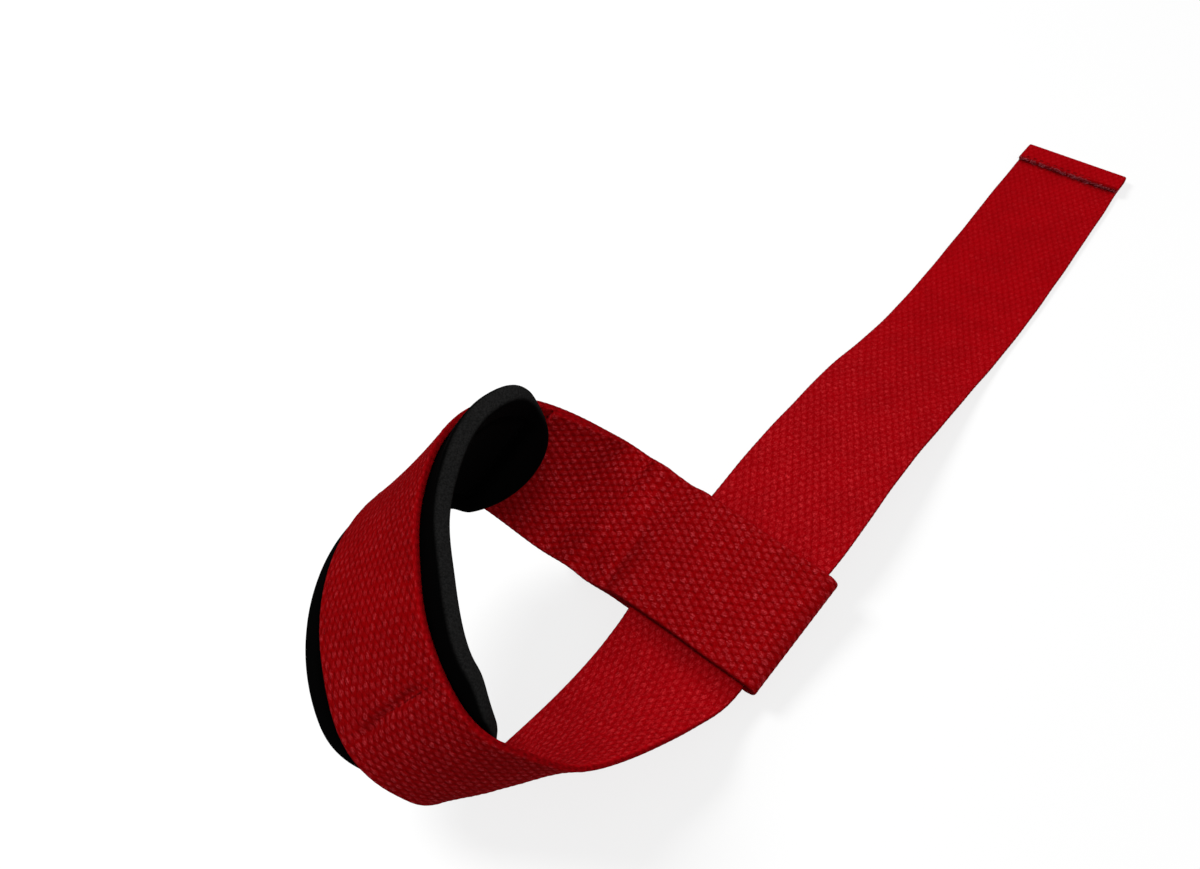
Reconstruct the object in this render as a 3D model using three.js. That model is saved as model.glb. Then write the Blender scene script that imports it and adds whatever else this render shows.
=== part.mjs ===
// Weightlifting strap of the lasso kind: one band of woven webbing with a sewn loop at one end, through which its own
// tail passes, and a foam wrist pad on the inner face of the ring that this makes.
// Millimetres, +Z up. The strap lies on the plane z = 0, its tail runs along +X, and the ring rises at the -X end.
import * as THREE from "three";

// Webbing
const webbingWidth = 38;
const webbingThickness = 1.7;
const selvage = 0.5;
const layerGap = 0.3;

// Wrist pad
const padWidth = 49;
const padThickness = 4.6;
const padLength = 127;
const padRounding = 24;
const padEdgeRadius = 1.3;
const padTip = 69.5;
const padGap = 0.3;

// Sewn loop: the end of the band goes round the tail and is sewn down on the band, with its raw end under the pad.
const loopSideRoom = 1;
const loopDrop = 8;
const rawEndUnderPad = 9;
const padStepLength = 6;

// Crossing of the sewn loop and the tail: height of the tail's middle there, and how the crossing lies, in degrees.
const crossingHeight = 10.5;
const crossingPitch = 5;
const crossingRoll = 4;

// Ring: its reach behind the crossing, its spread to the side, and the lift of its low edge.
const ringReach = 84;
const ringSpread = 68;
const ringLift = 50;

// Tail and hem
const tailLength = 235;
const touchDown = 138;
const hemLength = 7;
const hemGap = 0.25;

// Fineness of the faceted surfaces
const stationStep = 3.6;
const foldSteps = 7;
const spansAcross = 4;
const flatSteps = 4;
const padEndSteps = 7;
const slopeStep = 1e-4;

// The ring in sections from the sewn loop round to the tail. reach and spread are shares of ringReach and ringSpread,
// lift is the height of the band's low edge as a share of ringLift, and lean is the roll of the band in degrees:
// 0 lies flat with the inner face up, 90 stands on edge, and more leans in over the ring.
const ringSections = [
  { reach: 0.0, spread: 0.59, lift: 0.0, lean: 38 },
  { reach: 0.05, spread: 0.7, lift: 0.14, lean: 53 },
  { reach: 0.16, spread: 0.87, lift: 0.42, lean: 80 },
  { reach: 0.35, spread: 0.99, lift: 0.73, lean: 113 },
  { reach: 0.61, spread: 0.93, lift: 0.9, lean: 136 },
  { reach: 0.84, spread: 0.72, lift: 0.87, lean: 142 },
  { reach: 1.0, spread: 0.47, lift: 0.62, lean: 133 },
  { reach: 0.99, spread: 0.23, lift: 0.27, lean: 99 },
  { reach: 0.83, spread: 0.11, lift: 0.065, lean: 53 },
  { reach: 0.58, spread: 0.05, lift: 0.02, lean: 31 },
  { reach: 0.4, spread: 0.015, lift: 0.08, lean: 14 },
];

const halfWidth = webbingWidth / 2;
const layerPitch = webbingThickness + layerGap;
const besideTail = halfWidth + loopSideRoom;
const straightRun = besideTail + layerPitch;
const upward = new THREE.Vector3(0, 0, 1);
const radians = THREE.MathUtils.degToRad;

// Axes of the crossing: the tail's direction, the sewn loop's direction and their common normal.
const pitch = radians(crossingPitch);
const roll = radians(crossingRoll);
const tailAxis = new THREE.Vector3(Math.cos(pitch), 0, Math.sin(pitch));
const sewnAxis = new THREE.Vector3(0, Math.cos(roll), Math.sin(roll));
sewnAxis.addScaledVector(tailAxis, -sewnAxis.dot(tailAxis)).normalize();
const crossingNormal = new THREE.Vector3().crossVectors(tailAxis, sewnAxis);
const tailMiddle = new THREE.Vector3(0, 0, crossingHeight);
const sewnMiddle = tailMiddle.clone().addScaledVector(crossingNormal, -layerPitch);

// Clamped cubic spline through knots, with the given end slopes. Returns a function of the knot parameter.
function clampedSpline(knots, values, startSlope, endSlope) {
  const count = knots.length;
  const slopes = new Array(count).fill(0);
  const upper = new Array(count).fill(0);
  slopes[0] = startSlope;
  for (let i = 1; i < count - 1; i += 1) {
    const before = knots[i] - knots[i - 1];
    const after = knots[i + 1] - knots[i];
    const riseBefore = (values[i] - values[i - 1]) / before;
    const riseAfter = (values[i + 1] - values[i]) / after;
    const target = 3 * (riseBefore / before + riseAfter / after);
    const pivot = 2 * (1 / before + 1 / after) - upper[i - 1] / before;
    upper[i] = 1 / after / pivot;
    slopes[i] = (target - slopes[i - 1] / before) / pivot;
  }
  slopes[count - 1] = endSlope;
  for (let i = count - 2; i > 0; i -= 1) {
    slopes[i] -= upper[i] * slopes[i + 1];
  }
  return (parameter) => {
    let i = 0;
    while (i < count - 2 && parameter > knots[i + 1]) {
      i += 1;
    }
    const span = knots[i + 1] - knots[i];
    return hermite((parameter - knots[i]) / span, values[i], values[i + 1], slopes[i] * span, slopes[i + 1] * span);
  };
}

function hermite(t, start, end, startSlope, endSlope) {
  const rest = 1 - t;
  const startPart = rest * rest * ((1 + 2 * t) * start + t * startSlope);
  const endPart = t * t * ((3 - 2 * t) * end - rest * endSlope);
  return startPart + endPart;
}

function smoothStep(value, low, high) {
  return THREE.MathUtils.smoothstep(value, low, high);
}

// Angle of the direction across the band above the level, for a band that runs along the given direction.
function leanOf(along, across) {
  const level = new THREE.Vector3().crossVectors(along, upward).normalize();
  const above = new THREE.Vector3().crossVectors(level, along);
  return Math.atan2(across.dot(above), across.dot(level));
}

// A station of the band: its middle, the direction along, the direction across and the inner face's normal.
function station(middle, along, lean) {
  const level = new THREE.Vector3().crossVectors(along, upward).normalize();
  const above = new THREE.Vector3().crossVectors(level, along);
  const across = level.multiplyScalar(Math.cos(lean)).addScaledVector(above, Math.sin(lean));
  const inward = new THREE.Vector3().crossVectors(across, along);
  return { middle, along, across, inward };
}

// The straight stretch of the sewn loop under the tail, from its fold to where the ring starts.
function sewnStretch() {
  const lean = leanOf(sewnAxis, tailAxis);
  const steps = Math.ceil((straightRun + besideTail) / stationStep);
  const stretch = [];
  for (let i = 0; i < steps; i += 1) {
    const distance = THREE.MathUtils.lerp(-besideTail, straightRun, i / steps);
    stretch.push(station(sewnMiddle.clone().addScaledVector(sewnAxis, distance), sewnAxis.clone(), lean));
  }
  return stretch;
}

// The ring, from the end of the sewn stretch to the start of the tail's straight stretch.
function ringStretch() {
  const startLean = leanOf(sewnAxis, tailAxis);
  const endLean = leanOf(tailAxis, sewnAxis.clone().negate());
  const points = [sewnMiddle.clone().addScaledVector(sewnAxis, straightRun)];
  const leans = [startLean];
  for (const row of ringSections) {
    const lean = radians(row.lean);
    const height = row.lift * ringLift + halfWidth * Math.sin(lean);
    points.push(new THREE.Vector3(-row.reach * ringReach, row.spread * ringSpread, height));
    leans.push(lean);
  }
  points.push(tailMiddle.clone().addScaledVector(tailAxis, -straightRun));
  leans.push(endLean);

  const knots = [0];
  for (let i = 1; i < points.length; i += 1) {
    knots.push(knots[i - 1] + points[i].distanceTo(points[i - 1]));
  }
  const x = clampedSpline(knots, points.map((point) => point.x), sewnAxis.x, tailAxis.x);
  const y = clampedSpline(knots, points.map((point) => point.y), sewnAxis.y, tailAxis.y);
  const z = clampedSpline(knots, points.map((point) => point.z), sewnAxis.z, tailAxis.z);
  const lean = clampedSpline(knots, leans, 0, 0);

  const length = knots[knots.length - 1];
  const steps = Math.ceil(length / stationStep);
  const small = length * slopeStep;
  const stretch = [];
  for (let i = 0; i < steps; i += 1) {
    const at = (length * i) / steps;
    const middle = new THREE.Vector3(x(at), y(at), z(at));
    const ahead = new THREE.Vector3(x(at + small), y(at + small), z(at + small));
    stretch.push(station(middle, ahead.sub(middle).normalize(), lean(at)));
  }
  return stretch;
}

// The tail: straight through the sewn loop, then down in one curve to the floor, then flat to the hem.
function tailStretch() {
  const crossingLean = leanOf(tailAxis, sewnAxis.clone().negate());
  const floorHeight = webbingThickness / 2;
  const stretch = [];
  const crossingSteps = Math.ceil((2 * straightRun) / stationStep);
  for (let i = 0; i < crossingSteps; i += 1) {
    const middle = tailMiddle.clone().addScaledVector(tailAxis, -straightRun + (2 * straightRun * i) / crossingSteps);
    stretch.push(station(middle, tailAxis.clone(), crossingLean));
  }
  const start = tailMiddle.clone().addScaledVector(tailAxis, straightRun);
  const slope = Math.tan(pitch) * (touchDown - start.x);
  const height = (t) => hermite(t, start.z, floorHeight, slope, 0);
  const dropSteps = Math.ceil((touchDown - start.x) / stationStep);
  for (let i = 0; i < dropSteps; i += 1) {
    const t = i / dropSteps;
    const middle = new THREE.Vector3(THREE.MathUtils.lerp(start.x, touchDown, t), 0, height(t));
    const rise = (height(t + slopeStep) - height(t)) / (slopeStep * (touchDown - start.x));
    const along = new THREE.Vector3(1, 0, rise).normalize();
    stretch.push(station(middle, along, crossingLean * (1 - smoothStep(t, 0, 1))));
  }
  const flat = new THREE.Vector3(1, 0, 0);
  const flatEnd = tailLength - foldRadius(hemGap);
  for (let i = 0; i <= flatSteps; i += 1) {
    const middle = new THREE.Vector3(THREE.MathUtils.lerp(touchDown, flatEnd, i / flatSteps), 0, floorHeight);
    stretch.push(station(middle, flat.clone(), 0));
  }
  return stretch;
}

// Radius of the middle of the band where it is folded flat on itself with the given gap.
function foldRadius(gap) {
  return (webbingThickness + gap) / 2;
}

// Half circle in which the band turns back over its inner face. side is 1 where it turns at the far end of the
// stretch and -1 at its near end. The stations run from the stretch to the layer above it.
function fold(from, side, radius) {
  const stations = [];
  for (let i = 1; i <= foldSteps; i += 1) {
    const angle = (Math.PI * i) / foldSteps;
    const inward = from.inward.clone().multiplyScalar(Math.cos(angle));
    inward.addScaledVector(from.along, -side * Math.sin(angle));
    const middle = from.middle.clone().addScaledVector(from.inward, radius).addScaledVector(inward, -radius);
    stations.push({ middle, across: from.across.clone(), inward });
  }
  return stations;
}

// Distance of each station along the band, starting from the given value.
function distancesAlong(stations, start) {
  const list = [start];
  for (let i = 1; i < stations.length; i += 1) {
    list.push(list[i - 1] + stations[i].middle.distanceTo(stations[i - 1].middle));
  }
  return list;
}

// The station at a distance along the band, between two of its stations.
function stationAt(stations, along, distance) {
  let i = 0;
  while (i < stations.length - 2 && distance > along[i + 1]) {
    i += 1;
  }
  const share = (distance - along[i]) / (along[i + 1] - along[i]);
  const mix = (name) => stations[i][name].clone().lerp(stations[i + 1][name], share);
  const across = mix("across").normalize();
  const inward = mix("inward");
  inward.addScaledVector(across, -inward.dot(across)).normalize();
  return { middle: mix("middle"), along: mix("along").normalize(), across, inward };
}

// How far the middle of the returned layer lies inside the middle of the band below it.
function returnedOffset(distance) {
  return THREE.MathUtils.lerp(2 * layerPitch, layerPitch, smoothStep(distance, besideTail, besideTail + loopDrop));
}

// Closed solid through a list of rings with equally many points, with a flat face on each end.
function loft(rings) {
  const sides = rings[0].length;
  const positions = [];
  const faces = [];
  for (const ring of rings) {
    for (const point of ring) {
      positions.push(point.x, point.y, point.z);
    }
  }
  for (let i = 0; i < rings.length - 1; i += 1) {
    for (let j = 0; j < sides; j += 1) {
      const a = i * sides + j;
      const b = i * sides + ((j + 1) % sides);
      faces.push(a, b + sides, b, a, a + sides, b + sides);
    }
  }
  const last = (rings.length - 1) * sides;
  for (let j = 1; j < sides - 1; j += 1) {
    faces.push(0, j, j + 1, last, last + j + 1, last + j);
  }
  const geometry = new THREE.BufferGeometry();
  geometry.setAttribute("position", new THREE.Float32BufferAttribute(positions, 3));
  geometry.setIndex(faces);
  geometry.computeVertexNormals();
  return geometry;
}

// Point of a station, given its place across the band and its depth on the inner side of the band's middle.
function pointAt(place, across, inward) {
  return place.middle.clone().addScaledVector(place.across, across).addScaledVector(place.inward, inward);
}

// The webbing: the returned end of the sewn loop, its fold, the sewn stretch, the ring, the tail and the hem.
function webbingStations(band, along) {
  const returnedEnd = padTip + rawEndUnderPad;
  const returned = [];
  const steps = Math.ceil((returnedEnd - along[0]) / stationStep);
  for (let i = 0; i <= steps; i += 1) {
    const distance = THREE.MathUtils.lerp(returnedEnd, along[0], i / steps);
    const below = stationAt(band, along, distance);
    const middle = pointAt(below, 0, returnedOffset(distance));
    returned.push({ middle, across: below.across, inward: below.inward.clone().negate() });
  }
  const nearFold = fold(band[0], -1, layerPitch).reverse().slice(1);
  const hemStart = band[band.length - 1];
  const hemFold = fold(hemStart, 1, foldRadius(hemGap));
  const hemTop = hemFold[hemFold.length - 1];
  const hemEnd = { ...hemTop, middle: hemTop.middle.clone().addScaledVector(hemStart.along, -hemLength) };
  return [...returned, ...nearFold, ...band, ...hemFold, hemEnd];
}

function webbingSection() {
  const half = webbingThickness / 2;
  const section = [[-halfWidth, 0]];
  for (let i = 0; i <= spansAcross; i += 1) {
    section.push([THREE.MathUtils.lerp(selvage - halfWidth, halfWidth - selvage, i / spansAcross), -half]);
  }
  section.push([halfWidth, 0]);
  for (let i = spansAcross; i >= 0; i -= 1) {
    section.push([THREE.MathUtils.lerp(selvage - halfWidth, halfWidth - selvage, i / spansAcross), half]);
  }
  return section;
}

// Half width of the pad at a distance from its tip: both ends are half ellipses.
function padHalfWidth(distance) {
  const toEnd = Math.min(distance, padLength - distance);
  const share = THREE.MathUtils.clamp(1 - toEnd / padRounding, 0, 1);
  return (padWidth / 2) * Math.sqrt(1 - share * share);
}

// Depth of the pad's seat inside the middle of the band: it steps down past the raw end of the returned layer.
function padSeat(distance) {
  const step = layerPitch * (1 - smoothStep(distance, rawEndUnderPad + padGap, rawEndUnderPad + padStepLength));
  return webbingThickness / 2 + padGap + step;
}

// Distances from the tip at which the pad has a ring, closer together in its rounded ends.
function padDistances() {
  const firstAngle = 0.14;
  const list = [];
  for (let i = 0; i <= padEndSteps; i += 1) {
    const angle = THREE.MathUtils.lerp(firstAngle, Math.PI / 2, i / padEndSteps);
    list.push(padRounding * (1 - Math.cos(angle)));
  }
  const middleLength = padLength - 2 * padRounding;
  const middleSteps = Math.ceil(middleLength / stationStep);
  for (let i = 1; i < middleSteps; i += 1) {
    list.push(padRounding + (middleLength * i) / middleSteps);
  }
  return [...list, ...list.slice(0, padEndSteps + 1).reverse().map((distance) => padLength - distance)];
}

function padRing(place, distance) {
  const half = padHalfWidth(distance);
  const seat = padSeat(distance);
  const bevel = Math.min(padEdgeRadius, half / 2);
  const ring = [];
  for (let i = 0; i <= spansAcross; i += 1) {
    ring.push(pointAt(place, THREE.MathUtils.lerp(-half, half, i / spansAcross), seat));
  }
  ring.push(pointAt(place, half, seat + padThickness - bevel));
  for (let i = spansAcross; i >= 0; i -= 1) {
    const across = THREE.MathUtils.lerp(bevel - half, half - bevel, i / spansAcross);
    ring.push(pointAt(place, across, seat + padThickness));
  }
  ring.push(pointAt(place, -half, seat + padThickness - bevel));
  return ring;
}

function makeWebbing(band, along) {
  const section = webbingSection();
  const stations = webbingStations(band, along);
  const rings = stations.map((place) => section.map(([across, inward]) => pointAt(place, across, inward)));
  const material = new THREE.MeshStandardMaterial({ color: 0x8b0512, roughness: 0.85, metalness: 0 });
  const mesh = new THREE.Mesh(loft(rings), material);
  mesh.name = "webbing";
  return mesh;
}

function makeWristPad(band, along) {
  const rings = padDistances().map((distance) => padRing(stationAt(band, along, padTip + distance), distance));
  const material = new THREE.MeshStandardMaterial({ color: 0x0c0909, roughness: 0.9, metalness: 0 });
  const mesh = new THREE.Mesh(loft(rings), material);
  mesh.name = "wrist_pad";
  return mesh;
}

// The strap stands with the middle of its footprint at the origin and its lowest faces at z = 0.
function makeStrap() {
  const sewn = sewnStretch();
  const band = [...sewn, ...ringStretch(), ...tailStretch()];
  const along = distancesAlong(band, -besideTail);
  const strap = new THREE.Group();
  strap.add(makeWebbing(band, along), makeWristPad(band, along));
  const box = new THREE.Box3().setFromObject(strap, true);
  const middle = box.getCenter(new THREE.Vector3());
  strap.position.set(-middle.x, -middle.y, -box.min.z);
  return strap;
}

export default makeStrap();
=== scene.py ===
import math
from collections import namedtuple

import bmesh
import bpy
import numpy as np
from mathutils import Matrix, Vector


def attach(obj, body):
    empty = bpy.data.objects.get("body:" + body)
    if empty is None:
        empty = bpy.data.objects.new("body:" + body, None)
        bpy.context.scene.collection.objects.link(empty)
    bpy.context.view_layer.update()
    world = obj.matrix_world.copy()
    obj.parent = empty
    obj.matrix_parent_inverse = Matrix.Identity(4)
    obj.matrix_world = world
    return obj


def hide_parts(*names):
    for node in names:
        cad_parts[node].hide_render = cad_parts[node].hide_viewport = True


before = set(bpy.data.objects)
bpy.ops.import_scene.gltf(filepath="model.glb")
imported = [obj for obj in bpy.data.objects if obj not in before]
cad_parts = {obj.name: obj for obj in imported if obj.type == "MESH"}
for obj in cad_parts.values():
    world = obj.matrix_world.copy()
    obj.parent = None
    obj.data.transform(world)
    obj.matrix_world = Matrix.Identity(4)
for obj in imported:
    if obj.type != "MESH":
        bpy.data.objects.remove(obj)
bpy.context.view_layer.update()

# Lengths are in millimetres until a mesh is made. The sewn loop and the tail cross at x = y = 0, and
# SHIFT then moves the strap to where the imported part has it.
MM = 0.001
UP = np.array([0.0, 0.0, 1.0])
SHIFT = np.array([-69.514, -28.486, 0.0])

WEBBING_WIDTH = 38.0
WEBBING_THICKNESS = 1.7
LAYER_GAP = 0.3
PAD_WIDTH = 49.0
PAD_THICKNESS = 4.6
PAD_LENGTH = 127.0
PAD_ROUNDING = 24.0
PAD_TIP = 69.5
PAD_GAP = 0.3
LOOP_SIDE_ROOM = 1.0
LOOP_DROP = 8.0
RAW_END_UNDER_PAD = 9.0
PAD_STEP_LENGTH = 6.0
CROSSING_HEIGHT = 10.5
CROSSING_PITCH = math.radians(5)
CROSSING_ROLL = math.radians(4)
RING_REACH = 84.0
RING_SPREAD = 68.0
RING_LIFT = 50.0
TAIL_LENGTH = 235.0
TOUCH_DOWN = 138.0
HEM_LENGTH = 8.5
HEM_GAP = 0.25

HALF_WIDTH = WEBBING_WIDTH / 2
HALF_THICKNESS = WEBBING_THICKNESS / 2
LAYER_PITCH = WEBBING_THICKNESS + LAYER_GAP
BESIDE_TAIL = HALF_WIDTH + LOOP_SIDE_ROOM
STRAIGHT_RUN = BESIDE_TAIL + LAYER_PITCH
HEM_RADIUS = (WEBBING_THICKNESS + HEM_GAP) / 2

# The ring from the sewn loop to the tail. reach, spread, lift: its low edge, as shares of RING_REACH,
# RING_SPREAD and RING_LIFT. lean: how far the band leans from flat, in degrees.
RING_SECTIONS = (
    {"reach": 0.0, "spread": 0.59, "lift": 0.0, "lean": 38},
    {"reach": 0.05, "spread": 0.7, "lift": 0.14, "lean": 53},
    {"reach": 0.16, "spread": 0.87, "lift": 0.42, "lean": 80},
    {"reach": 0.35, "spread": 0.99, "lift": 0.73, "lean": 113},
    {"reach": 0.61, "spread": 0.93, "lift": 0.9, "lean": 136},
    {"reach": 0.84, "spread": 0.72, "lift": 0.87, "lean": 142},
    {"reach": 1.0, "spread": 0.47, "lift": 0.62, "lean": 133},
    {"reach": 0.99, "spread": 0.23, "lift": 0.27, "lean": 99},
    {"reach": 0.83, "spread": 0.11, "lift": 0.065, "lean": 53},
    {"reach": 0.58, "spread": 0.05, "lift": 0.02, "lean": 31},
    {"reach": 0.4, "spread": 0.015, "lift": 0.08, "lean": 14},
)

# Fineness of the path and of the meshes.
PATH_STEP = 0.2
FLAT_STEPS = 400
FOLD_STEPS = 24
HEM_STEPS = 36


def unit(vectors):
    return vectors / np.linalg.norm(vectors, axis=-1, keepdims=True)


def smooth(values, low, high):
    """Goes softly from 0 at low to 1 at high."""
    t = np.clip((np.asarray(values, float) - low) / (high - low), 0, 1)
    return t * t * (3 - 2 * t)


def dent(values, middle, reach):
    """A soft bump of height 1 at the middle, gone at about twice its reach."""
    return np.exp(-(((values - middle) / reach) ** 2))


def hermite(t, start, end, start_slope, end_slope):
    rest = 1 - t
    return rest**2 * ((1 + 2 * t) * start + t * start_slope) + t**2 * ((3 - 2 * t) * end - rest * end_slope)


def clamped_spline(knots, values, start_slope, end_slope):
    """A smooth curve through the values at the knots, as a function of the place between them."""
    span = np.diff(knots)
    count = len(knots)
    system, target = np.eye(count), np.zeros(count)
    target[0], target[-1] = start_slope, end_slope
    for i in range(1, count - 1):
        system[i, i - 1 : i + 2] = 1 / span[i - 1], 2 / span[i - 1] + 2 / span[i], 1 / span[i]
        rise_before = (values[i] - values[i - 1]) / span[i - 1] ** 2
        rise_after = (values[i + 1] - values[i]) / span[i] ** 2
        target[i] = 3 * (rise_before + rise_after)
    slopes = np.linalg.solve(system, target)

    def at(parameter):
        i = np.clip(np.searchsorted(knots, parameter, side="right") - 1, 0, count - 2)
        t = (parameter - knots[i]) / span[i]
        return hermite(t, values[i], values[i + 1], slopes[i] * span[i], slopes[i + 1] * span[i])

    return at


def level_and_above(along):
    level = unit(np.cross(along, UP))
    return level, np.cross(level, along)


def lean_of(along, across):
    level, above = level_and_above(along)
    return math.atan2(across @ above, across @ level)


TAIL_AXIS = np.array([math.cos(CROSSING_PITCH), 0, math.sin(CROSSING_PITCH)])
SEWN_AXIS = np.array([0, math.cos(CROSSING_ROLL), math.sin(CROSSING_ROLL)])
SEWN_AXIS = unit(SEWN_AXIS - TAIL_AXIS * (SEWN_AXIS @ TAIL_AXIS))
CROSSING_NORMAL = np.cross(TAIL_AXIS, SEWN_AXIS)
TAIL_MIDDLE = np.array([0, 0, CROSSING_HEIGHT])
SEWN_MIDDLE = TAIL_MIDDLE - CROSSING_NORMAL * LAYER_PITCH


def steps(start, end, step=PATH_STEP):
    return np.linspace(start, end, max(2, int(math.ceil(abs(end - start) / step))), endpoint=False)


def straight(middle, axis, distances):
    return middle + np.outer(distances, axis)


def run_length(points, start=0.0):
    """Distance of each point from the first one along their line."""
    return start + np.concatenate([[0], np.cumsum(np.linalg.norm(np.diff(points, axis=0), axis=1))])


def ring_points():
    points = [SEWN_MIDDLE + STRAIGHT_RUN * SEWN_AXIS]
    leans = [lean_of(SEWN_AXIS, TAIL_AXIS)]
    for section in RING_SECTIONS:
        lean = math.radians(section["lean"])
        height = section["lift"] * RING_LIFT + HALF_WIDTH * math.sin(lean)
        points.append(np.array([-section["reach"] * RING_REACH, section["spread"] * RING_SPREAD, height]))
        leans.append(lean)
    points.append(TAIL_MIDDLE - STRAIGHT_RUN * TAIL_AXIS)
    leans.append(lean_of(TAIL_AXIS, -SEWN_AXIS))
    points = np.array(points)
    knots = run_length(points)
    at = steps(0, knots[-1])
    axes = [clamped_spline(knots, points[:, k], SEWN_AXIS[k], TAIL_AXIS[k])(at) for k in range(3)]
    return np.stack(axes, 1), clamped_spline(knots, np.array(leans), 0, 0)(at)


def tail_points():
    lean = lean_of(TAIL_AXIS, -SEWN_AXIS)
    crossing = straight(TAIL_MIDDLE, TAIL_AXIS, steps(-STRAIGHT_RUN, STRAIGHT_RUN))
    start = TAIL_MIDDLE + STRAIGHT_RUN * TAIL_AXIS
    t = steps(0, 1, PATH_STEP / (TOUCH_DOWN - start[0]))
    slope = math.tan(CROSSING_PITCH) * (TOUCH_DOWN - start[0])
    x = start[0] + t * (TOUCH_DOWN - start[0])
    drop = np.stack([x, 0 * x, hermite(t, start[2], HALF_THICKNESS, slope, 0)], 1)
    x = np.linspace(TOUCH_DOWN, TAIL_LENGTH - HEM_RADIUS, FLAT_STEPS)
    flat = np.stack([x, 0 * x, 0 * x + HALF_THICKNESS], 1)
    leans = np.concatenate([np.full(len(crossing), lean), lean * (1 - smooth(t, 0, 1)), np.zeros(len(flat))])
    return np.concatenate([crossing, drop, flat]), leans


class Path:
    """Middle line of a band with its directions across and inward, by distance along the band."""

    def __init__(self, distance, middle, across, inward):
        self.distance, self.middle, self.across, self.inward = distance, middle, across, inward

    def at(self, distance):
        mixed = [
            np.stack([np.interp(distance, self.distance, values[:, k]) for k in range(3)], 1)
            for values in (self.middle, self.across, self.inward)
        ]
        across = unit(mixed[1])
        inward = mixed[2] - across * np.sum(mixed[2] * across, 1, keepdims=True)
        return mixed[0], across, unit(inward)

    def points(self, distance, side, height):
        """Points at equally long lists of distances, places across and heights on the inner side."""
        middle, across, inward = self.at(distance)
        return middle + across * np.asarray(side)[:, None] + inward * np.asarray(height)[:, None]


def make_band():
    """The webbing from the near fold to the hem fold, without what is turned back."""
    sewn = straight(SEWN_MIDDLE, SEWN_AXIS, steps(-BESIDE_TAIL, STRAIGHT_RUN))
    ring, ring_leans = ring_points()
    tail, tail_leans = tail_points()
    middle = np.concatenate([sewn, ring, tail])
    leans = np.concatenate([np.full(len(sewn), lean_of(SEWN_AXIS, TAIL_AXIS)), ring_leans, tail_leans])
    distance = run_length(middle, -BESIDE_TAIL)
    along = unit(np.gradient(middle, distance, axis=0))
    level, above = level_and_above(along)
    across = level * np.cos(leans)[:, None] + above * np.sin(leans)[:, None]
    return Path(distance, middle, across, np.cross(across, along)), along


def returned_offset(distance):
    """How far the returned layer is from the band: two layers apart beside the tail, and then one."""
    return 2 * LAYER_PITCH - LAYER_PITCH * smooth(distance, BESIDE_TAIL, BESIDE_TAIL + LOOP_DROP)


def fold_points(band, along, index, side, radius):
    """Half circle in which the band turns back over its inner face, as middles, acrosses and inwards."""
    angle = np.linspace(0, math.pi, FOLD_STEPS)[:, None]
    inward = np.cos(angle) * band.inward[index] - side * np.sin(angle) * along[index]
    middle = band.middle[index] + radius * band.inward[index] - radius * inward
    return middle, np.repeat(band.across[index][None], len(angle), 0), inward


def make_path(band, along):
    """The whole webbing in one path: returned end, near fold, band, hem fold and hem."""
    back = np.arange(PAD_TIP + RAW_END_UNDER_PAD, -BESIDE_TAIL, -PATH_STEP)
    middle, across, inward = band.at(back)
    returned = middle + inward * returned_offset(back)[:, None], across, -inward
    near = [part[::-1][:-1] for part in fold_points(band, along, 0, -1, LAYER_PITCH)]
    hem = [part[1:] for part in fold_points(band, along, -1, 1, HEM_RADIUS)]
    hem_run = np.linspace(PATH_STEP, HEM_LENGTH, HEM_STEPS)[:, None]
    hem_back = (
        hem[0][-1] - hem_run * along[-1],
        np.repeat(hem[1][-1:], len(hem_run), 0),
        np.repeat(hem[2][-1:], len(hem_run), 0),
    )
    whole = (band.middle, band.across, band.inward)
    middle, across, inward = (np.concatenate(parts) for parts in zip(returned, near, whole, hem, hem_back))
    length = run_length(middle)
    origin = length[len(back) + len(near[0])] + BESIDE_TAIL
    return Path(length - origin, middle, across, inward)


BAND, ALONG = make_band()
PATH = make_path(BAND, ALONG)
RAW_END = PATH.distance[0]
BAND_END = BAND.distance[-1]
HEM_END = PATH.distance[-1]

# Weave: the crowns of the warp yarns stand in a centred lattice. Each is a low oval hill.
CROWNS_ACROSS = 17
CROWN_RUN = 4.0
CROWN_SIDE = WEBBING_WIDTH / CROWNS_ACROSS
CROWN_HALF_RUN = 1.75
CROWN_HALF_SIDE = 1.06
CROWN_RELIEF = 0.21
CROWN_SLOPE = 0.9
CROWN_CELLS = 6
WEAVE_STEP = CROWN_RUN / CROWN_CELLS
WEAVE_SIDE_STEP = CROWN_SIDE / CROWN_CELLS

# Looks of the webbing: its edges are round cords with beads, and its faces swell until the sewn layers
# almost touch.
VISIBLE_HALF = 0.95
EDGE_START = 18.45
EDGE_REACH = 0.65
EDGE_ANGLES = np.radians([58, 29, 0, -29, -58])
EDGE_BEADS = 0.035
RELIEF_END = EDGE_START + 0.1
RELIEF_FADE = 0.6
WANDER_SEED = 3
WANDER_LENGTHS = (31.0, 47.0, 19.0)
WANDER_SIZE = 0.1

# The webbing is cut into three meshes, at rows of the weave.
SEWN_CUT = 0
TAIL_CUT = int(round((BAND_END - (TAIL_LENGTH - HEM_RADIUS)) / WEAVE_STEP))
RAW_END_INDEX = int(math.ceil(RAW_END / WEAVE_STEP))
HEM_END_INDEX = int(math.floor(HEM_END / WEAVE_STEP))

# Lines of stitches across the band, near the pad's far end and on the sewn loop. A slant is how far a
# line runs along the band for each millimetre across it.
PAD_LINE = 172.5
PAD_LINE_SLANT = -0.2
LOOP_LINE = -75.8
LOOP_LINE_SLANT = -0.13

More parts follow.
